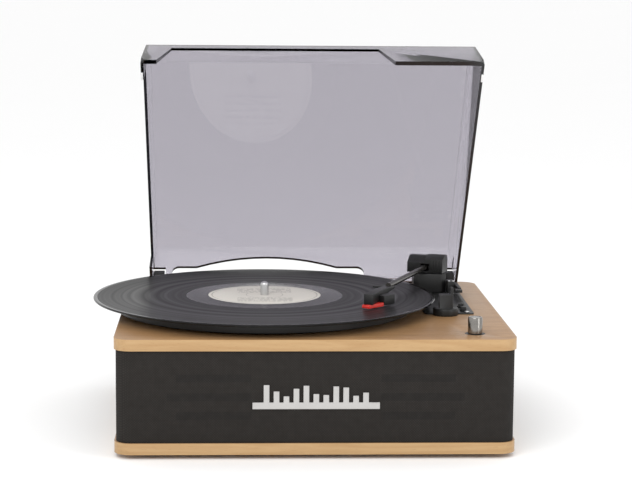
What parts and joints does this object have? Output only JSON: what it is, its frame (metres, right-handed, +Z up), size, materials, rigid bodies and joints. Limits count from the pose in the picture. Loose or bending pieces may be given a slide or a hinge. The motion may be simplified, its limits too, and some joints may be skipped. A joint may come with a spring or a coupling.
{
  "type": "turntable record player",
  "caption": "Belt-drive record player with speakers behind front cloth, wooden boards, straight tonearm, volume knob and a tinted hinged dust cover, a record on its platter.",
  "frame": {"origin": "on the table plane under the feet, at the middle of the plinth's footprint", "axes": "+X to the right and +Y to the back as the user faces the front cloth, +Z up"},
  "size_m": [0.3555, 0.316, 0.3314],
  "materials": {
    "oak": "satin lacquer",
    "cabinet_board": "raw fibreboard",
    "cloth": "woven speaker cloth",
    "foot_rubber": "matte",
    "steel": "zinc plated",
    "satin_trim": "satin",
    "black_plastic": "fine texture",
    "black_gloss": "smooth",
    "vinyl": "pressed grooves",
    "paper_label": "matte paper",
    "felt": "felt",
    "brass": "turned",
    "belt_rubber": "matte",
    "cone_paper": "pressed pulp",
    "speaker_steel": "painted",
    "magnet": "ferrite",
    "circuit_board": "solder mask",
    "component": "moulded",
    "alloy": "extruded",
    "white_nylon": "moulded",
    "arm_metal": "dark anodised",
    "red_plastic": "moulded",
    "knob_metal": "turned",
    "smoke_tint": "tinted clear sheet",
    "clear_pad": "clear soft pad"
  },
  "bodies": {
    "plinth": {"base_board": "oak", "rubber_feet": "foot_rubber", "foot_screws": "steel", "cabinet_walls": "cabinet_board", "front_baffle": "cabinet_board", "grille_cloth": "cloth", "badge": "satin_trim", "left_speaker_basket": "speaker_steel", "left_speaker_cone": "cone_paper", "left_speaker_magnet": "magnet", "right_speaker_basket": "speaker_steel", "right_speaker_cone": "cone_paper", "right_speaker_magnet": "magnet", "amplifier_board": "circuit_board", "board_standoffs": "white_nylon", "amplifier_parts": "component", "heat_sink": "alloy", "rear_panel": "black_plastic", "line_sockets": "brass", "aux_socket": "steel", "power_inlet": "black_gloss", "panel_screws": "steel", "top_board": "oak", "bearing_bush": "brass", "motor": "steel", "motor_screws": "steel", "drive_belt": "belt_rubber", "arm_plate": "black_plastic", "arm_plate_screws": "steel", "arm_tower": "black_plastic", "arm_rest": "black_plastic", "cue_block": "black_plastic", "cue_screws": "steel", "switch_bodies": "steel", "knob_collar": "black_plastic", "volume_control": "speaker_steel", "hinge_brackets": "black_plastic", "hinge_pins": "steel", "hinge_screws": "steel"},
    "platter_body": {"platter": "black_plastic", "slipmat": "felt", "spindle": "steel", "record": "vinyl", "record_label": "paper_label"},
    "motor_rotor": {"motor_pulley": "brass"},
    "arm_swivel": {"arm_yoke": "black_plastic", "arm_post": "steel"},
    "arm_wand": {"arm_tube": "arm_metal", "lift_axle": "steel", "headshell": "black_plastic", "finger_lift": "black_plastic", "cartridge": "black_gloss", "stylus": "red_plastic"},
    "cue_arm": {"cue_lever": "black_plastic"},
    "speed_slide": {"speed_switch": "black_plastic"},
    "stop_slide": {"stop_switch": "black_plastic"},
    "volume": {"volume_knob": "knob_metal"},
    "dust_cover": {"lid": "smoke_tint", "lid_bumpers": "clear_pad"}
  },
  "joints": [
    {"name": "platter_spin", "type": "hinge", "parent": "plinth", "child": "platter_body", "pos_m": [-0.04, -0.002, 0.0995], "axis": [0, 0, 1], "continuous": true},
    {"name": "motor_spin", "type": "hinge", "parent": "plinth", "child": "motor_rotor", "pos_m": [-0.1001, 0.0581, 0.0995], "axis": [0, 0, 1], "continuous": true},
    {"name": "arm_swing", "type": "hinge", "parent": "plinth", "child": "arm_swivel", "pos_m": [0.114, 0.092, 0.0995], "axis": [0, 0, 1], "range_deg": [-15, 22.7]},
    {"name": "arm_lift", "type": "hinge", "parent": "arm_swivel", "child": "arm_wand", "pos_m": [0.114, 0.092, 0.1235], "axis": [-0.9291, 0.3697, 0], "range_deg": [0, 4]},
    {"name": "cue_turn", "type": "hinge", "parent": "plinth", "child": "cue_arm", "pos_m": [0.13455, 0.08, 0.1075], "axis": [-1, 0, 0], "range_deg": [0, 32]},
    {"name": "speed_select", "type": "slide", "parent": "plinth", "child": "speed_slide", "axis": [0, 1, 0], "range_m": [-0.003, 0.003]},
    {"name": "auto_stop", "type": "slide", "parent": "plinth", "child": "stop_slide", "axis": [0, 1, 0], "range_m": [-0.003, 0.003]},
    {"name": "volume_turn", "type": "hinge", "parent": "plinth", "child": "volume", "pos_m": [0.1324, -0.122, 0.0995], "axis": [0, 0, -1], "range_deg": [-140, 140]},
    {"name": "lid_hinge", "type": "hinge", "parent": "plinth", "child": "dust_cover", "pos_m": [0, 0.13, 0.1075], "axis": [1, 0, 0], "range_deg": [0, 52]}
  ],
  "couplings": [
    {"joint": "motor_spin", "follows": "platter_spin", "ratio": 12.4},
    {"joint": "arm_lift", "follows": "cue_turn", "ratio": 0.125}
  ]
}
